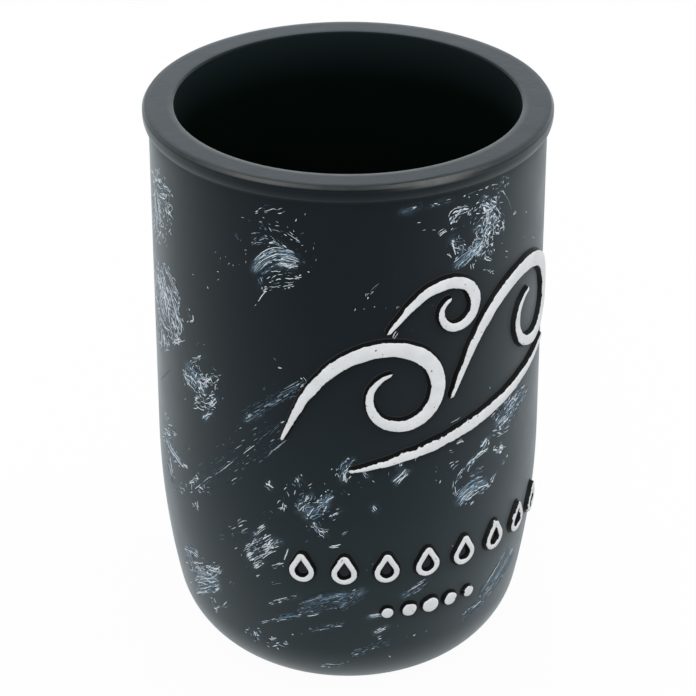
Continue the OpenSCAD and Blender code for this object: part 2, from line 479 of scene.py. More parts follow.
# The stain under a stroke's core: its number of places, where they are along the stroke, and
# their radius as a share of the stroke's width and at least
STAINS = 6
STAIN_START = 0.1
STAIN_STEP = 0.16
STAIN_REACH = 0.32
STAIN_LEAST = 0.6

# A strand: how far it ends inside the stroke, as a share of it, how much more at the
# stroke's edge, and how that spreads. EDGE_THIN is how much less cover the edge has, and
# STRETCH_MOST how much wider a stroke is at most where the picture shows it from the side
END = 0.03
END_EDGE = 0.1
END_SPREAD = 0.05
EDGE_MOST = 1.2
EDGE_THIN = 0.4
STRETCH_MOST = 2.2
SHIFT_SPREAD = 0.3

# The runs of a strand and the gaps between them, in pixels: the least, and the mean of what
# comes on top with little and with full cover
RUN_LEAST = 2.6
RUN_LITTLE = 2.4
RUN_FULL = 20
RUN_POWER = 2.2
RUN_WOBBLE = 2.5
RUN_STEP = 1.6
GAP_LITTLE = 13
GAP_FULL = 0.6
GAP_POWER = 1.6

# How a run leaves the stroke's way: slope, curve, shake and two wanders. Each of these has
# its reach in pixels, its scale along, its own seed and its scale across
SLOPE = 0.03
SLOPE_WOBBLE = 0.5
SLOPE_RUN = 5
CURVE_WOBBLE = 0.12
CURVE_RUN = 6
SHAKE = 0.12
WANDERS = ((12, 0.085, 0, 0.07), (3, 0.3, 31, 0.17))

# How pale and wide the runs are. A share of them takes full paint
SHADE = -0.2
SHADE_EDGE = 0.1
SHADE_SPREAD = 0.25
FULL_SHARE = 0.28
FULL_SHADE = 0.75
FULL_WIDTH = 1.35
WIDTH_LEAST = 0.55
WIDTH_BASE = 0.46
WIDTH_SHADE = 0.66
WIDTH_SPREAD = (0.7, 1.15)
HEIGHT_SPREAD = (0.6, 1.3)


class Flecks:
    """Slivers of paint on the wall: closed, tapered, and sunk a little at the foot."""

    FOOT = -0.012
    TAPER = 0.4
    FADE = 0.35

    def __init__(self):
        self.verts, self.faces, self.tones = [], [], []

    def add(self, path, width, height, tone, place=on_wall):
        """path is a list of (along, z). The first and last points end the sliver."""
        count = len(path)
        first = len(self.verts)
        self.verts.append(place(*path[0], self.FOOT))
        for i in range(1, count - 1):
            (a0, z0), (a1, z1) = path[i - 1], path[i + 1]
            length = hypot(a1 - a0, z1 - z0) or 1
            side_a, side_z = -(z1 - z0) / length, (a1 - a0) / length
            half = width / 2 * (1 - self.TAPER * abs(2 * i / (count - 1) - 1))
            a, z = path[i]
            for out, level in ((half, self.FOOT), (0, height), (-half, self.FOOT)):
                self.verts.append(place(a + side_a * out, z + side_z * out, level))
        self.verts.append(place(*path[-1], self.FOOT))
        fade = self.FADE * max(0, tone)
        for i in range(count):
            points = 3 if 0 < i < count - 1 else 1
            self.tones += [tone - fade * (2 * i / (count - 1) - 1) ** 2] * points
        self.faces += ring_faces(first, count - 2, 3)


rng = random.Random(11)
flecks = {"paint_front": Flecks(), "paint_back": Flecks()}
hazes = []


def lay_strands(target, at, length, width, layer, cover, tone, wobble):
    """Broken lines of paint side by side. at gives the place on the wall for a share of the
    way along and a distance across. length and width are in pixels."""
    spacing, thick, height = layer
    (a0, z0), (a1, z1) = at(0.5, -1), at(0.5, 1)
    stretch = min(STRETCH_MOST, max(1, hypot(a1 - a0, z1 - z0) / 2 / PIXEL))
    thick *= sqrt(stretch)
    lines = max(1, round(width * sqrt(stretch) / spacing))
    for k in range(lines):
        across = ((k + 0.5) / lines - 0.5) * width + rng.gauss(0, spacing * SHIFT_SPREAD)
        edge = min(EDGE_MOST, abs(2 * across) / max(width, spacing))
        t = max(0.0, rng.gauss(END + END_EDGE * edge, END_SPREAD))
        stop = min(1.0, rng.gauss(1 - END - END_EDGE * edge, END_SPREAD))
        here = min(1, cover * (1 - EDGE_THIN * edge ** 2))
        seed = rng.random() * 90
        more_run = RUN_LITTLE + RUN_FULL * here ** RUN_POWER
        gap = GAP_FULL + GAP_LITTLE * (1 - here) ** GAP_POWER
        while (stop - t) * length > 2:
            run = RUN_LEAST + rng.expovariate(1 / more_run) / (1 + RUN_WOBBLE * wobble)
            run = min(run, (stop - t) * length)
            slope = rng.gauss(0, SLOPE + SLOPE_WOBBLE * wobble) * min(1, SLOPE_RUN / run)
            curve = rng.gauss(0, CURVE_WOBBLE * wobble) * min(1, CURVE_RUN / run)
            steps = max(3, min(12, round(run / RUN_STEP)))
            path = []
            for i in range(steps + 1):
                go = t + run * i / steps / length
                off = (i / steps - 0.5) * run
                shift = across + slope * off + curve * off ** 2 + rng.gauss(0, SHAKE)
                for reach, fine, apart, sideways in WANDERS:
                    place = (go * length * fine, seed + apart, across * sideways)
                    shift += wobble * reach * noise.noise(place)
                path.append(at(go, shift))
            shade, full = tone, tone > 0 and rng.random() < FULL_SHARE
            if tone > 0:
                more = FULL_SHADE * tone if full else 0
                shade += rng.gauss(SHADE - SHADE_EDGE * edge, SHADE_SPREAD) + more
            if all(LOWEST_PAINT < z < HIGHEST_PAINT for _, z in path):
                wide = max(WIDTH_LEAST, WIDTH_BASE + WIDTH_SHADE * shade)
                wide *= FULL_WIDTH if full else 1
                target.add(path, thick * rng.uniform(*WIDTH_SPREAD) * wide,
                           height * rng.uniform(*HEIGHT_SPREAD), shade)
            t += (run + rng.expovariate(1 / gap)) / length


def brush(target, turn, x0, y0, x1, y1, width, cover, tone, wobble, core=0, bend=0):
    """A stroke of a nearly dry brush, in the pixels of a picture that is taken from a turn
    round the cup. cover is the share of a line that takes paint, tone how pale it is, wobble
    how far it wanders, and core how strong a layer of thin paint lies under the stroke. A
    stroke to the right bends upwards."""
    length = hypot(x1 - x0, y1 - y0)
    way_x, way_y = (x1 - x0) / length, (y1 - y0) / length

    def at(t, across):
        rise = across + 4 * bend * t * (1 - t)
        along, z = from_photo(x0 + way_x * length * t + way_y * rise,
                              y0 + way_y * length * t - way_x * rise)
        return along + turn * WALL_R, z

    stroke = (target, at, length)
    if core:
        for i in range(STAINS):
            along, z = at(STAIN_START + STAIN_STEP * i, 0)
            if LOWEST_PAINT < z < HIGHEST_PAINT:
                hazes.append((along, z, max(width * STAIN_REACH * PIXEL, STAIN_LEAST), core))
        lay_strands(*stroke, width * UNDER_WIDTH, UNDER_LAYER, UNDER_COVER * core,
                    tone * UNDER_TONE, wobble * UNDER_WOBBLE)
        lay_strands(*stroke, width * DARK_WIDTH, DARK_LAYER, DARK_COVER, DARK_TONE, wobble)
    lay_strands(*stroke, width, TOP_LAYER if core else SPARSE_LAYER, cover, tone * TOP_TONE,
                wobble)


# Strokes that show in the picture, in its pixels: start, way to the end, and width. Then in
# percent how much of it takes paint, how pale it is, how far it wanders and how strong its
# core is, and in pixels how far it bends. A core or bend of 0 may be left out at the end
STROKES = [
    # beside the left edge, from the rim down
    (154, 166, 6, 17, 8, 50, 100, 40, 0, 1), (152, 180, 15, 18, 13, 65, 90, 50, 50, 2),
    (154, 188, 4, 40, 9, 95, 120, 15, 180), (163, 192, 6, 30, 11, 65, 95, 60, 30),
    (155, 222, 6, 16, 8, 65, 95, 50, 50), (162, 222, 8, 24, 8, 35, 85, 80),
    (156, 238, 7, 8, 2, 100, 60, 10, 0, -1), (157, 262, 6, 30, 9, 70, 95, 15, 40, 1),
    (162, 262, 18, 41, 5, 90, 100, 6, 10, 2), (158, 272, 8, 52, 12, 95, 110, 12, 170),
    (166, 284, 15, 54, 12, 80, 90, 15, 50, 1), (159, 316, 7, 36, 10, 75, 95, 30, 60),
    (168, 322, 12, 23, 11, 70, 95, 40, 40), (172, 345, 13, -7, 6, 70, 95, 50, 20, 2),
    (163, 350, 9, 6, 5, 40, 60, 80), (187, 306, 3, 10, 2, 60, 55, 20),
    (190, 313, -3, 10, 5, 70, 85, 30, 0, 1), (196, 347, 4, -6, 2, 90, 70, 10),
    (159, 382, 13, -13, 2, 80, 20, 10, 0, 1),
    # the pale curves under them
    (164, 411, 4, 11, 4, 90, 55, 10), (164, 428, 12, 8, 10, 65, 85, 50, 40),
    (165, 430, 22, 40, 6, 85, 68, 8, 50, -3), (166, 436, 14, 28, 6, 80, 55, 10, 50, -2),
    (168, 456, 7, 28, 5, 70, 65, 12, 30), (183, 464, 6, 5, 4, 80, 95, 30),
    (186, 449, 7, -6, 5, 50, 55, 70), (176, 485, 9, 8, 7, 60, 60, 100),
    (190, 480, 7, 5, 7, 80, 95, 100, 10, 2), (198, 488, 11, 6, 9, 50, 90, 60),
    (192, 502, 8, 9, 6, 45, 90, 50),
    # swirls left of the middle
    (190, 368, 16, -11, 6, 50, 65, 50, 10, 2), (187, 366, 16, 26, 20, 80, 66, 50, 90),
    (186, 372, 4, 16, 6, 90, 95, 40, 40), (200, 386, 22, -10, 10, 60, 90, 70, 10, 3),
    (204, 378, 16, 10, 8, 45, 85, 90), (194, 394, 23, 8, 16, 60, 90, 80, 25, -3),
    (209, 407, 7, -9, 5, 95, 100, 30, 60), (200, 410, 17, 0, 5, 50, 85, 60),
    (203, 420, 11, -8, 5, 95, 100, 30, 60, 1),
    # the fan under the rim
    (255, 213, 15, -7, 3, 40, 70, 30, 0, 2), (262, 211, 15, -1, 3, 80, 100, 30),
    (277, 214, 9, -4, 5, 60, 90, 30), (253, 213, 5, -3, 4, 40, 60, 40),
    (237, 216, 19, 10, 2, 95, 70, 8, 0, 3), (234, 233, 6, 9, 4, 60, 60, 10, 0, 1),
    (258, 221, 25, 9, 9, 25, 70, 40), (259, 227, 47, 20, 5, 35, 65, 15, 0, 3),
    (286, 232, 17, 10, 4, 80, 95, 10), (249, 234, 13, -1, 3, 80, 90, 20),
    (262, 236, 16, 6, 4, 60, 75, 20, 0, 1), (251, 243, 17, -3, 8, 55, 70, 25, 10, 2),
    (268, 243, 20, 6, 4, 70, 85, 15, 10, 2), (252, 273, 47, -14, 15, 95, 74, 6, 90, 11),
    (275, 263, 25, 2, 6, 95, 95, 10, 70), (260, 277, 38, -8, 7, 60, 65, 15, 20, 8),
    (270, 273, 35, -5, 4, 40, 65, 20, 0, 1), (266, 282, 37, -5, 10, 40, 80, 15, 0, 2),
    (262, 291, 34, -5, 7, 50, 85, 30, 0, 3), (293, 279, 10, -3, 3, 95, 110, 15),
    (283, 289, 13, -5, 4, 85, 110, 20), (259, 276, 3, 15, 6, 50, 60, 20, 10),
    (254, 308, 19, -19, 2, 75, 80, 20, 0, 2), (301, 262, 8, -2, 5, 50, 65, 20),
    # long slanting rows below it
    (243, 417, 65, -36, 14, 58, 36, 2, 10), (262, 408, 45, -26, 6, 65, 52, 2, 10),
    (256, 417, 47, -26, 3, 50, 45, 2), (244, 421, 18, -8, 8, 60, 40, 25, 30),
    (301, 376, 8, 8, 4, 80, 100, 30), (260, 392, 16, -9, 3, 30, 40, 20),
    (190, 496, 50, -41, 3, 60, 50, 2), (240, 455, 52, -40, 3, 65, 65, 2),
    (262, 437, 30, -21, 6, 50, 50, 3), (196, 486, 92, -62, 34, 22, 30, 2),
    (258, 463, 32, -25, 3, 60, 60, 3), (230, 487, 20, -17, 2, 45, 60, 6),
    (228, 435, 15, -9, 5, 30, 45, 20), (215, 447, 11, -3, 5, 30, 40, 30),
    (272, 356, 4, 6, 2, 60, 60, 10), (277, 366, 6, 2, 3, 100, 110, 10, 0, -1),
    # dabs low on the left
    (229, 529, 7, -4, 3, 100, 110, 10), (237, 526, 11, -5, 5, 80, 100, 15),
    (240, 533, 9, -5, 5, 80, 95, 15), (235, 522, 7, -4, 3, 80, 90, 20),
    (231, 536, 9, -4, 4, 60, 80, 20), (216, 538, 10, -4, 6, 30, 50, 30),
    (252, 536, 14, -12, 6, 90, 95, 10, 20), (246, 546, 13, -7, 6, 60, 75, 20, 20),
    (246, 558, 30, -18, 20, 55, 92, 15, 35), (262, 551, 20, -10, 10, 65, 105, 15, 35),
    (252, 568, 12, -7, 6, 80, 95, 15, 20), (283, 562, 5, -15, 3, 90, 85, 8),
    (270, 567, 14, -4, 6, 70, 95, 25), (234, 552, 8, -3, 4, 50, 50, 20),
    (184, 545, 16, 15, 8, 50, 65, 30, 10, 2), (196, 549, 4, 9, 2, 100, 95, 10),
    (187, 552, 12, 20, 9, 55, 75, 40, 40), (193, 572, 28, -4, 14, 75, 90, 60, 60),
    (194, 580, 26, -2, 10, 85, 80, 50, 80), (195, 590, 26, -4, 14, 92, 66, 15, 110),
    (217, 574, 4, -6, 5, 100, 110, 20, 50), (212, 596, 8, 16, 6, 55, 65, 30, 10, -2),
    (213, 609, 19, -6, 5, 60, 65, 30, 0, -2), (230, 586, 4, -6, 3, 80, 75, 10),
    (255, 576, 6, -1, 3, 80, 65, 10), (270, 584, 13, -2, 3, 80, 75, 10),
    # the middle, between the large waves and the drops
    (267, 481, 5, 9, 6, 90, 105, 30, 20), (283, 510, 7, -27, 7, 55, 85, 60),
    (281, 512, 5, -9, 6, 70, 95, 50, 10), (295, 477, 8, 9, 8, 70, 70, 50, 30),
    (308, 488, 8, -7, 4, 70, 85, 30), (298, 512, 14, -18, 12, 60, 70, 50, 40, 2),
    (306, 516, 20, -12, 15, 85, 62, 35, 110), (318, 507, 15, -14, 11, 70, 75, 40, 70),
    (311, 522, 14, 16, 12, 55, 70, 50, 30), (329, 518, 13, -9, 7, 60, 85, 40, 10),
    (328, 546, 15, -3, 4, 70, 85, 12, 0, -2), (341, 537, 9, -8, 3, 60, 65, 10),
    (304, 544, 6, -3, 3, 60, 65, 20), (262, 516, 13, -6, 3, 40, 30, 60, 0, 1),
    (343, 482, 9, -24, 12, 65, 65, 50, 60, 2), (356, 466, 14, 12, 6, 60, 70, 30, 20),
    (357, 486, 5, -3, 4, 70, 65, 30), (388, 477, 1, -6, 2, 100, 85, 10),
    (396, 457, 4, 11, 6, 80, 70, 50, 40), (394, 484, 15, -14, 7, 95, 80, 15, 100, 1),
    (407, 472, 12, -19, 2, 95, 65, 8), (372, 506, 5, 5, 5, 80, 75, 40, 30),
    # low down, beside and under the drops
    (268, 604, 32, -8, 4, 50, 65, 5, 20), (298, 607, 54, -13, 13, 65, 36, 4, 70, 2),
    (296, 612, 54, -8, 9, 50, 38, 4, 40), (275, 619, 47, -7, 7, 45, 45, 5, 20),
    (340, 606, 24, -16, 13, 70, 42, 5, 80), (258, 624, 36, -9, 4, 45, 55, 8, 10),
    (308, 630, 38, -6, 6, 40, 40, 5, 20), (254, 630, 6, 12, 6, 60, 70, 60, 20),
    (268, 638, 20, 11, 8, 50, 70, 50, 10), (246, 628, 6, 6, 5, 30, 60, 50),
    (320, 665, 35, -4, 4, 80, 60, 10, 50, -2), (351, 655, 40, -15, 8, 35, 45, 5, 10),
    (412, 635, 17, -5, 3, 50, 50, 10), (291, 634, 3, 0, 2, 100, 95, 10),
    (300, 634, 3, 0, 2, 100, 85, 10), (377, 640, 6, -4, 3, 80, 90, 20),
    (402, 597, 28, -18, 9, 65, 45, 6, 60), (480, 599, 32, -53, 13, 85, 48, 3, 90, -2),
    (462, 620, 22, -22, 8, 70, 50, 10, 40),
    # two full dashes of white
    (368, 617, 15, -3, 4, 100, 130, 5, 50), (374, 633, 13, -6, 4, 100, 130, 5, 50),
    # right of the middle, from the rim down
    (400, 213, 20, -6, 5, 50, 40, 15, 40), (412, 211, 7, -3, 2, 80, 95, 10),
    (428, 206, 27, -7, 4, 40, 45, 12, 20), (462, 197, 36, -14, 2, 70, 75, 8),
    (484, 189, 15, -7, 3, 80, 85, 15), (501, 184, 8, -7, 7, 70, 70, 80, 20, 2),
    (494, 193, 8, -9, 6, 45, 60, 80), (503, 188, 11, 25, 2, 100, 75, 8),
    (502, 189, 4, 6, 4, 70, 90, 50), (512, 215, 6, -3, 3, 100, 95, 30),
    (416, 224, 8, -1, 2, 100, 90, 5), (421, 230, 6, -1, 2, 100, 80, 5),
    (432, 230, 4, 0, 2, 100, 60, 5), (438, 236, 9, -7, 5, 75, 100, 20, 0, 1),
    (450, 224, 20, -16, 11, 70, 105, 20, 20, 4), (481, 197, 16, 9, 9, 65, 75, 70, 40),
    (483, 202, 14, 20, 15, 70, 68, 80, 50), (486, 218, 14, -22, 10, 60, 72, 50, 30),
    (467, 216, 17, -12, 12, 35, 75, 50), (495, 216, -17, 42, 18, 55, 68, 60, 40, -2),
    (472, 232, 26, -20, 12, 60, 78, 40, 30), (474, 246, 26, -22, 12, 50, 72, 40, 30),
    (484, 222, 8, 36, 8, 50, 75, 50, 20), (489, 226, 5, -13, 3, 95, 95, 10, 20, 1),
    (451, 238, 14, 16, 12, 70, 90, 60, 40), (451, 233, 8, -6, 3, 80, 80, 20, 0, 2),
    (456, 266, 22, -20, 13, 95, 62, 20, 100), (468, 256, 16, -16, 8, 80, 75, 20, 60),
    (472, 262, 1, 9, 3, 100, 105, 15), (485, 253, 8, 7, 4, 80, 90, 30, 10, -3),
    (456, 270, 3, -6, 3, 80, 85, 20), (447, 252, 5, 8, 3, 95, 105, 20),
    (494, 214, 11, 22, 9, 35, 70, 60), (497, 206, 7, 19, 4, 60, 75, 30, 0, 1),
    (482, 269, 14, 3, 5, 50, 85, 30), (488, 273, 7, -5, 4, 60, 80, 30),
    (459, 287, 15, 11, 6, 75, 80, 12, 30, 1), (366, 297, 16, -16, 3, 55, 50, 10, 0, 1),
    (392, 341, 6, -11, 4, 90, 100, 10), (366, 299, 7, -9, 5, 50, 60, 30),
    # under the right-hand wave
    (494, 426, 33, -40, 14, 60, 60, 15, 35, 1), (505, 412, 11, -16, 10, 95, 68, 12, 100),
    (497, 431, 22, -29, 12, 50, 65, 20, 20), (505, 388, 10, -12, 5, 50, 65, 10),
    (478, 422, 14, -19, 5, 70, 90, 10), (466, 420, 27, -16, 5, 30, 45, 8),
    (450, 425, 16, -10, 3, 50, 50, 5), (491, 435, 20, -7, 7, 40, 65, 30),
    (455, 444, 9, -4, 4, 80, 95, 15), (481, 449, 8, -11, 7, 90, 80, 30, 60),
    (494, 453, 12, -9, 7, 50, 95, 40, 10), (499, 449, 4, -3, 4, 100, 110, 20, 50),
    (500, 466, 7, -14, 2, 90, 75, 10, 0, -1), (449, 453, 11, -4, 3, 60, 65, 20),
    (450, 469, 9, -9, 6, 60, 80, 20), (467, 466, 22, -19, 5, 85, 75, 15, 40, 1),
    (466, 472, 14, -17, 4, 60, 65, 15, 20, 2), (470, 478, 14, -12, 5, 40, 55, 20, 20),
    (457, 504, 30, -24, 15, 90, 68, 10, 90, 3), (460, 500, 18, -15, 8, 95, 80, 8, 100),
    (457, 497, 0, -18, 4, 80, 85, 15, 20, 3), (457, 480, 10, -14, 4, 60, 70, 15, 10, 1),
    (478, 495, 19, -25, 4, 55, 80, 12, 10, -2), (484, 488, 11, -12, 4, 50, 85, 20),
    (437, 484, 5, -7, 3, 70, 75, 20), (468, 505, 6, -7, 6, 60, 80, 30),
]

# Fields of loose specks, in the picture's pixels: middle, width and height. Then how many
# they are, and how pale in percent
SPECKS = [
    (230, 266, 36, 36, 16, 60), (226, 336, 60, 40, 4, 30), (376, 309, 44, 10, 8, 60),
    (430, 456, 40, 40, 8, 45), (270, 638, 46, 24, 9, 55), (300, 520, 70, 60, 14, 40),
    (480, 560, 60, 40, 4, 30), (380, 640, 60, 40, 6, 40), (290, 235, 50, 40, 22, 65),
    (205, 470, 60, 60, 8, 35), (462, 330, 60, 60, 4, 30), (530, 225, 10, 60, 5, 45),
    (350, 482, 60, 40, 14, 50), (425, 290, 90, 80, 5, 30), (350, 560, 50, 30, 5, 35),
    (200, 262, 40, 60, 5, 45), (312, 252, 12, 40, 9, 60), (485, 230, 46, 70, 26, 75),
    (205, 385, 44, 44, 14, 80), (170, 320, 24, 60, 14, 80), (262, 550, 50, 36, 12, 80),
    (320, 505, 44, 40, 14, 70), (505, 410, 34, 44, 10, 70), (205, 575, 40, 40, 12, 75),
]

front = flecks["paint_front"]
for stroke in STROKES:
    x, y, right, down, width, cover, tone, wobble, core, bend = (*stroke, 0, 0)[:10]
    brush(front, 0, x, y, x + right, y + down, width, cover / 100, tone / 100, wobble / 100,
          core / 100, bend)
for x, y, width, height, count, tone in SPECKS:
    for _ in range(count):
        x0 = x + rng.uniform(-0.5, 0.5) * width
        y0 = y + rng.uniform(-0.5, 0.5) * height
        way = rng.uniform(0, tau)
        size = rng.uniform(1.8, 4)
        brush(front, 0, x0, y0, x0 + size * cos(way), y0 + size * sin(way),
              width=1, cover=1, tone=tone / 100 + rng.uniform(-0.2, 0.25), wobble=0.3)

# Dabs and slanting rows of the same kind, on the sides that the picture doesn't show. Each
# is brushed as in a picture taken from a turn round the cup
HIDDEN_DABS = 18
HIDDEN_ROWS = 8
HIDDEN_START = radians(92)
HIDDEN_REACH = radians(166)
HIDDEN_TOP = 212
HIDDEN_DEPTH = 425
GOLDEN = 0.618
DAB_TUFTS = 8
DAB_SPECKS = 14


def hidden_place(i, count, shift):
    """Turn and height in the picture of one of the marks on the hidden sides."""
    turn = HIDDEN_START + HIDDEN_REACH * ((i + shift) * GOLDEN % 1)
    return turn, HIDDEN_TOP + HIDDEN_DEPTH * (i + rng.random()) / count


back = flecks["paint_back"]
for i in range(HIDDEN_DABS):
    turn, y = hidden_place(i, HIDDEN_DABS, 0)
    x = CENTRE_X + rng.uniform(-12, 12)
    way = radians(rng.choice((20, 40, 75, 150)) + rng.uniform(-15, 15))
    size = rng.uniform(26, 56)
    x1, y1 = x + size * cos(way), y - size * sin(way)
    wobble = rng.choice((0.1, 0.15, 0.3, 0.5))
    pale = rng.uniform(0.55, 0.8)
    brush(back, turn, x, y, x1, y1, bend=rng.uniform(-5, 12), width=rng.uniform(14, 25),
          cover=rng.uniform(0.65, 0.95), tone=pale, wobble=wobble, core=rng.uniform(0.5, 1.1))
    for _ in range(DAB_TUFTS):
        x0 = rng.uniform(x, x1) + rng.gauss(0, 15)
        y0 = rng.uniform(y1, y) + rng.gauss(0, 15)
        out = way + rng.gauss(0, 0.4)
        size = rng.uniform(10, 32)
        brush(back, turn, x0, y0, x0 + size * cos(out), y0 - size * sin(out),
              bend=rng.uniform(-2, 4), width=rng.uniform(3, 13),
              cover=rng.uniform(0.35, 0.65), tone=pale + 0.15, wobble=wobble)
    for _ in range(DAB_SPECKS):
        x0, y0 = x1 + rng.gauss(0, 24), y1 + rng.gauss(0, 24)
        brush(back, turn, x0, y0, x0 + rng.uniform(1, 3), y0 + rng.uniform(-3, 3),
              width=1, cover=1, tone=rng.uniform(0.3, 0.8), wobble=0.3)
for i in range(HIDDEN_ROWS):
    turn, y = hidden_place(i, HIDDEN_ROWS, 0.6)
    x = CENTRE_X - rng.uniform(10, 40)
    brush(back, turn, x, y, x + rng.uniform(40, 75), y - rng.uniform(18, 45),
          width=rng.uniform(3, 13), cover=rng.uniform(0.45, 0.6),
          tone=rng.uniform(0.35, 0.55), wobble=0.03, core=rng.uniform(0, 0.3))

# A fold in the skin of the rim's top, right of the middle, drawn as a thin dark sliver of
# painted shade: its two parts in degrees from the camera's side, its width, and how it goes
# inwards and wanders
FOLD_PARTS = ((10.5, 14.5), (14, 29.5))
FOLD_STEPS = 24
FOLD_W = 0.28
FOLD_IN = 0.12
FOLD_WANDER = 0.12
FALL_IN = 0.7
FALL_START = 11
FALL_REACH = 18


def on_rim(along, radius, level):
    """A point at a level above the flat top of the rim."""
    angle = along / RIM_CREST_R
    return (radius * sin(angle), -radius * cos(angle), RIM_TOP + level)


flecks["rim_fold"] = Flecks()
for first, last in FOLD_PARTS:
    fold = []
    for i in range(FOLD_STEPS + 1):
        turn = first + (last - first) * i / FOLD_STEPS
        fall = max(0, (turn - FALL_START) / FALL_REACH) ** 1.2
        wander = FOLD_WANDER * noise.noise((turn * 0.5, first, 0))
        inward = FOLD_IN + FALL_IN * fall + wander
        fold.append(((radians(turn) - CAMERA_TURN) * RIM_CREST_R, RIM_CREST_R - inward))
    flecks["rim_fold"].add(fold, FOLD_W, TOTAL_H - RIM_TOP, DARK_TONE, on_rim)


# ---- the raised ornament

# One side of a raised stroke, from the foot up: how far out from its edge, the level
# above the wall as a share of its height, and how much of the white paint it takes. Less
# than none is the fillet at the foot, with a painted highlight: a thin pale line on the upper side
# only
STROKE_SIDE = ((0.56, -0.05, -1), (0.42, 0.025, -1), (0.36, 0.02, 0), (0.24, 0.04, 0),
               (0.11, 0.38, 0.1), (0, 0.76, 0.3), (-0.1, 0.93, 0.62), (-0.3, 0.99, 0.95))

# Half width below which a stroke's bevel narrows, and how far an open end reaches out and up
BEVEL_HALF = 0.6
END_REACH = 0.6
END_LEVEL = 0.2

# The waves: width of their group, its lowest point, and how a stroke narrows, flattens and
# curls to its tips
WAVES_W = 61
WAVES_LOW_H = 54
STROKE_STEPS = 260
TIP_W = 0.5
TIP_LENGTH = 0.6
TIP_START = 0.05
CURL_POWER = 1.9
BELLY_POWER = 0.8
LOW_TIP = 0.45
TIP_RISE = 0.53
LARGE_CURL = (66, 40, 455)
SMALL_CURL = (50, 60, 455)
SWEEP_CURL = (12, 8, 0)

# The row of drops: place, sizes, and how a drop's outline widens to its point
DROPS = 8
DROPS_H = 33
DROPS_PITCH = 7.9
DROP_H = 7.2
DROP_R = 2.4
DROP_LINE = 1.1
ROUND_STEPS = 56
POINT_STEPS = 16
SMOOTHINGS = 6
POINT_WIDER = 0.35
POINT_START = 0.6

# The row of bubbles: place and sizes. A bubble's rings go from its foot to its top, each with
# how far out it lies, its level and its share of white paint; less than none is the painted
# highlight on the foot's upper side, as on a stroke
BUBBLES = 5
BUBBLES_H = 22
BUBBLES_PITCH = 4.4
BUBBLES_LEFT = 2.7
BUBBLE_R = 1.7
BUBBLE_RINGS = ((1.33, -0.05, -1), (1.26, 0.025, -1), (1.22, 0.02, 0), (1.14, 0.04, 0),
                (1.06, 0.38, 0.1), (1, 0.74, 0.3), (0.93, 0.91, 0.62), (0.8, 0.98, 0.95),
                (0.5, 1, 1))

# How uneven the ornament is: the roughness of an edge and its most as a share of the half
# width, the tops, a drop's lean and edge, and a bubble's outline
EDGE_ROUGH = 0.16
EDGE_SHARE = 0.3
TOP_ROUGH = 0.02
DROP_LEAN = 0.08
DROP_ROUGH = 0.07
BUBBLE_ROUGH = 0.1


def uneven(place, seed, size):
    """A hand-cut edge's wander at a place along it."""
    return size * (noise.noise((place * 0.35, seed, 0)) + 0.5 * noise.noise((place * 1.5, seed, 7)))


def height_at(share, place, seed):
    """Height of a raised stroke, nearly even along it."""
    return RELIEF_H * (share + TOP_ROUGH * noise.noise((place, seed, 3)))


def band(path, halves, heights, closed=False):
    """A raised stroke along a path on the wall. halves are its half widths to the left and
    right of each point, and heights its height there."""
    verts, top = [], []
    count = len(path)
    for i, (a, z) in enumerate(path):
        before = path[i - 1] if i or closed else path[0]
        after = path[(i + 1) % count] if i < count - 1 or closed else path[i]
        da, dz = after[0] - before[0], after[1] - before[1]
        length = hypot(da, dz)
        left_a, left_z = -dz / length, da / length
        for side, half in ((1, halves[i][0]), (-1, halves[i][1])):
            # How much of the painted highlight at the foot this side takes: only the side facing up
            # and left
            glint_side = max(0, side * (left_z - 0.5 * left_a))
            rows = []
            for out, level, share in STROKE_SIDE:
                reach = side * (half + (out if out > 0 else out * min(1, half / BEVEL_HALF)))
                rows.append((reach, level, share * glint_side if share < 0 else share))
            if side > 0:
                rows.append((0, 1, 1))
            else:
                rows.reverse()
            for reach, level, share in rows:
                verts.append(on_wall(a + left_a * reach, z + left_z * reach, level * heights[i]))
                top.append(share)
    size = 2 * len(STROKE_SIDE) + 1
    pairs = [(k, (k + 1) % size) for k in range(size)]
    faces = []
    for i in range(count if closed else count - 1):
        near, far = i * size, (i + 1) % count * size
        faces += [(near + k, near + j, far + j, far + k) for k, j in pairs]
    if not closed:
        for tip, inner, ring in ((0, 1, 0), (count - 1, count - 2, (count - 1) * size)):
            a = path[tip][0] + END_REACH * (path[tip][0] - path[inner][0])
            z = path[tip][1] + END_REACH * (path[tip][1] - path[inner][1])
            verts.append(on_wall(a, z, END_LEVEL * heights[tip]))
            top.append(0)
            for k, j in pairs:
                first, second = (j, k) if tip == 0 else (k, j)
                faces.append((len(verts) - 1, ring + first, ring + second))
    return verts, faces, top


def raised(name, node, parts):
    """Makes one piece of the ornament from closed meshes."""
    verts, faces, top = [], [], []
    for more, sides, shares in parts:
        faces += [tuple(k + len(verts) for k in face) for face in sides]
        verts += more
        top += shares
    piece = make_piece(name, verts, faces, relief, "white_relief", sharp=50, top=top)
    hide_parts(node)


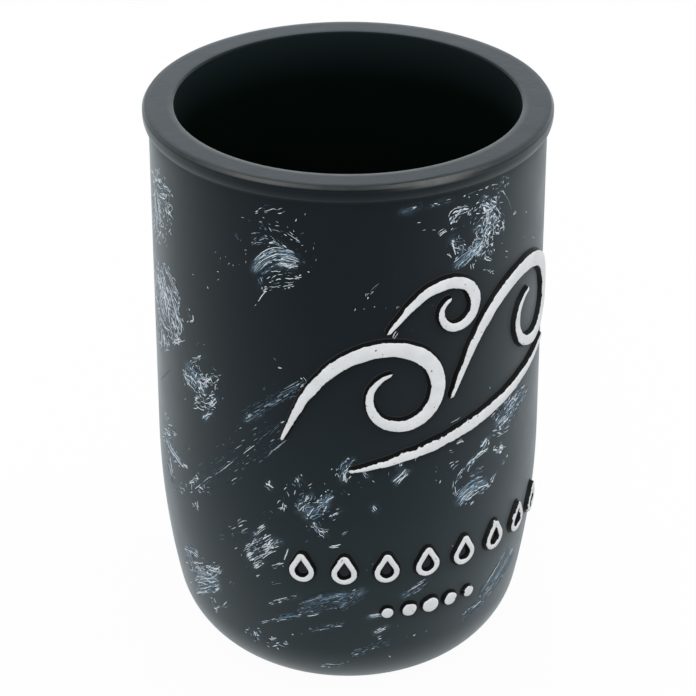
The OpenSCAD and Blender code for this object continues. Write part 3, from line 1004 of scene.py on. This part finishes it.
def wave(shares, angles, width, seed):
    """A wave stroke: its start across and up the group and its length, as shares of the
    group's width, and the angles that it sets out at, first turns up by and curls over by."""
    step = shares[2] * WAVES_W / STROKE_STEPS
    a, z = shares[0] * WAVES_W, WAVES_LOW_H + shares[1] * WAVES_W
    path = [(a, z)]
    for i in range(STROKE_STEPS):
        t = (i + 0.5) / STROKE_STEPS
        way = radians(angles[0] + angles[1] * t - angles[2] * t ** CURL_POWER)
        a, z = a + step * cos(way), z + step * sin(way)
        path.append((a, z))
    halves, heights = [], []
    for i in range(STROKE_STEPS + 1):
        t = i / STROKE_STEPS
        from_tip = min(i, STROKE_STEPS - i) * step
        tip = sqrt(min(1, (from_tip + TIP_START) / TIP_LENGTH))
        belly = sin(pi * t) ** BELLY_POWER
        half = (TIP_W + (width - TIP_W) * belly) / 2 * tip
        rough = min(EDGE_ROUGH, half * EDGE_SHARE)
        halves.append([half + uneven(i * step, seed + side * 5, rough) for side in range(2)])
        heights.append(height_at(LOW_TIP + TIP_RISE * tip, i * step * 0.4, seed))
    return band(path, halves, heights)


def drop(along, z, seed):
    """The raised outline of one drop, round its end at a place on the wall."""
    radius = DROP_R - DROP_LINE / 2
    tip = (DROP_H - DROP_R) * radius / DROP_R
    touch = asin(radius / tip)
    loop = []
    for i in range(ROUND_STEPS + 1):
        way = touch - (pi + 2 * touch) * i / ROUND_STEPS
        loop.append((radius * cos(way), radius * sin(way)))
    side = loop[-1]
    loop += [(side[0] * (1 - i / POINT_STEPS), side[1] + (tip - side[1]) * i / POINT_STEPS)
             for i in range(1, POINT_STEPS + 1)]
    loop += [(-a, h) for a, h in loop[-2:-POINT_STEPS - 1:-1]]
    for _ in range(SMOOTHINGS):
        loop = [tuple((loop[i - 1][c] + 2 * loop[i][c] + loop[(i + 1) % len(loop)][c]) / 4
                      for c in range(2)) for i in range(len(loop))]
    lean = DROP_LEAN * noise.noise((seed, 2, 5))
    halves, heights = [], []
    for i, (a, h) in enumerate(loop):
        wide = DROP_LINE / 2 * (1 + POINT_WIDER * max(0, h / tip - POINT_START))
        halves.append([wide + uneven(i * 0.2, seed + s * 5, DROP_ROUGH) for s in range(2)])
        heights.append(height_at(LOW_TIP + TIP_RISE, i * 0.1, seed))
    path = [(along + a + lean * h, z + h - lean * a) for a, h in loop]
    return band(path, halves, heights, closed=True)


def bubble(along, z, radius, seed):
    """A raised round dot."""
    verts, top = [on_wall(along, z, -0.1)], [0]
    for out, level, share in BUBBLE_RINGS:
        for k in range(BUBBLE_SIDES):
            way = tau * k / BUBBLE_SIDES
            rough = BUBBLE_ROUGH * noise.noise((cos(way), sin(way), seed))
            reach = out * radius * (1 + rough)
            verts.append(on_wall(along + reach * cos(way), z + reach * sin(way),
                                 level * RELIEF_H))
            # How much of the painted highlight at the foot this side takes: only the side facing up
            # and left
            glint_side = max(0, sin(way) - 0.5 * cos(way))
            top.append(share * glint_side if share < 0 else share)
    verts.append(on_wall(along, z, RELIEF_H))
    top.append(1)
    return verts, ring_faces(0, len(BUBBLE_RINGS), BUBBLE_SIDES), top


raised("left_wave", "wave_left", [wave((-0.51, 0.09, 1.15), LARGE_CURL, 3, 3)])
raised("right_wave", "wave_right", [wave((0, 0.205, 1.2), LARGE_CURL, 3, 14)])
raised("small_wave", "wave_small", [wave((-0.2, 0.455, 0.62), SMALL_CURL, 2.3, 25)])
raised("sweep", "sweep_line", [wave((-0.31, 0, 0.82), SWEEP_CURL, 2.3, 36)])
drop_z = DROPS_H + DROP_R - DROP_H / 2
raised("drops", "drop_row",
       [drop((i - (DROPS - 1) / 2) * DROPS_PITCH, drop_z, 40 + 3 * i) for i in range(DROPS)])
raised("bubbles", "bubble_row",
       [bubble((i - BUBBLES // 2) * BUBBLES_PITCH - BUBBLES_LEFT, BUBBLES_H,
               BUBBLE_R * (1 - 0.15 * abs(i - BUBBLES // 2)), 70 + 3 * i)
        for i in range(BUBBLES)])


# ---- the cup and its pad

# Pale places of the rim: a painted highlight on the near side of the mouth, and worn paint
# outside the flat top. How strong, and hills of turn in degrees from the camera's side,
# each as middle and reach to the left and right
MOUTH_GLINT = 0.7
MOUTH_TURN = 0.3
CREST_WORN = 0.2
CREST_HILLS = ((0.6, -24, 16, 14), (0.75, 23, 12, 14))
BEAD_HILL = (24, 8, 10)
BEAD_WORN_LOW = 109.7
BEAD_WORN_H = 0.4
SLACK = 0.05


def haze_at(verts):
    """How strongly the brushed stains colour each point of the outside."""
    points = np.array(verts)
    along = np.arctan2(points[:, 0], -points[:, 1]) * WALL_R
    outside = np.hypot(points[:, 0], points[:, 1]) > MOUTH_R + 1
    strength = np.zeros(len(points))
    for a, z, radius, core in hazes:
        apart = (along - a + pi * WALL_R) % (tau * WALL_R) - pi * WALL_R
        near = core * np.exp(-(apart ** 2 + (points[:, 2] - z) ** 2) / radius ** 2)
        strength = np.maximum(strength, near)
    return (strength * outside).tolist()


def hill(value, middle, low_width, high_width):
    """1 at the middle and less to both sides."""
    return exp(-((value - middle) / (low_width if value < middle else high_width)) ** 2)


def worn_at(verts):
    """How pale the rim's edges are at each point: a painted highlight on the near side of the
    mouth, and worn paint outside the flat top, where it reaches down the bead right of the middle."""
    worn = []
    for x, y, z in verts:
        radius = hypot(x, y)
        turn = degrees(atan2(x, -y) + CAMERA_TURN)
        turn = (turn + 180) % 360 - 180
        share = 0
        if z > RIM_TOP - MOUTH_ROUND - SLACK and radius < MOUTH_R + MOUTH_ROUND + SLACK:
            # Painted highlight: the near side of the mouth is paler, fading round towards the back
            share = MOUTH_GLINT * max(0, min(1, cos(radians(turn)) + MOUTH_TURN))
        elif z > TOTAL_H - RIM_SLOPE_H - SLACK and radius > RIM_CREST_R:
            share = CREST_WORN
            for strength, *place in CREST_HILLS:
                share += strength * hill(turn, *place)
        elif z > BEAD_WORN_LOW and radius > RIM_CREST_R:
            share = hill(turn, *BEAD_HILL) * min(1, (z - BEAD_WORN_LOW) / BEAD_WORN_H)
        worn.append(share)
    return worn


verts, faces = lathe(cup_section(), CUP_SIDES)
cup = make_piece("cup", verts, faces, resin, "cast_resin", sharp=40,
                 haze=haze_at(verts), worn=worn_at(verts))
cup.data.materials.append(inside)
for face in cup.data.polygons:
    middle = face.center / MM
    if FLOOR_TOP < middle.z < RIM_TOP - MOUTH_ROUND:
        face.material_index = int(hypot(middle.x, middle.y) < wall_at(middle.z) - WALL_T / 2)
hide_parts("cup_body")

for name, layer in flecks.items():
    # The fold's painted shade takes the dark inside finish
    make_piece(name, layer.verts, layer.faces, inside if name == "rim_fold" else paint,
               "cast_resin", sharp=60, tone=layer.tones)

PAD_ROUND = 0.3
flat_r = PAD_R - PAD_ROUND
section = [(0, 0)] + line((0, 0), (flat_r, 0), 10)
section += arc(flat_r, PAD_ROUND, PAD_ROUND, -90, 0, 4)
section += line((PAD_R, PAD_ROUND), (PAD_R, PAD_T - PAD_ROUND), 3)
section += arc(flat_r, PAD_T - PAD_ROUND, PAD_ROUND, 0, 90, 4)
section += line((flat_r, PAD_T), (0, PAD_T), 6)
verts, faces = lathe(section, PAD_SIDES)
pad = make_piece("pad", verts, faces, foam, "soft_pad", sharp=60)
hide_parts("base_pad")


# ---- the studio

FLOOR_HALF = 4000
FLOOR_SHOWN = 0.92
WHITE = (1, 1, 1, 1)
# Soft boxes: name, place, size across and power in watts
LAMPS = (("key", (-620, -760, 900), 700, 3.8), ("fill", (820, -420, 620), 700, 1.9),
         ("back", (150, 900, 900), 800, 2.2))


floor_mesh = bpy.data.meshes.new("floor")
floor_mesh.from_pydata([(x * FLOOR_HALF * MM, y * FLOOR_HALF * MM, 0) for x, y in
                        ((-1, -1), (1, -1), (1, 1), (-1, 1))], [], [(0, 1, 2, 3)])
floor = placed("floor", floor_mesh)

n = Nodes(bpy.data.materials.new("white_floor"))
matt = n.add("ShaderNodeBsdfDiffuse", {"Color": (0.5, 0.5, 0.5, 1)})
glow = n.add("ShaderNodeEmission", {"Color": WHITE, "Strength": 1.04})
floor_mesh.materials.append(n.show(matt, glow, FLOOR_SHOWN, "ShaderNodeOutputMaterial"))

scene = bpy.context.scene
n = Nodes(bpy.data.worlds.new("studio"))
soft = n.add("ShaderNodeBackground", {"Color": (0.96, 0.98, 1, 1), "Strength": 0.7})
white = n.add("ShaderNodeBackground", {"Color": WHITE, "Strength": 1})
scene.world = n.show(soft, white, 1, "ShaderNodeOutputWorld")

for name, place, size, power in LAMPS:
    lamp = bpy.data.lights.new(name, "AREA")
    lamp.shape = "DISK"
    lamp.size = size * MM
    lamp.energy = power
    box = placed(name, lamp)
    box.location = Vector(place) * MM
    aim = Vector((0, 0, TOTAL_H / 2)) * MM - box.location
    box.rotation_euler = aim.to_track_quat("-Z", "Y").to_euler()

camera = bpy.data.cameras.new("camera")
camera.lens = FOCAL_PX / PICTURE * camera.sensor_width
camera.clip_start = 10 * MM
holder = placed("camera", camera)
turn = Matrix((sight_right, sight_up, -sight_ahead)).transposed().to_4x4()
holder.matrix_world = Matrix.Translation(eye * MM) @ turn
scene.camera = holder
scene.view_settings.view_transform = "Standard"
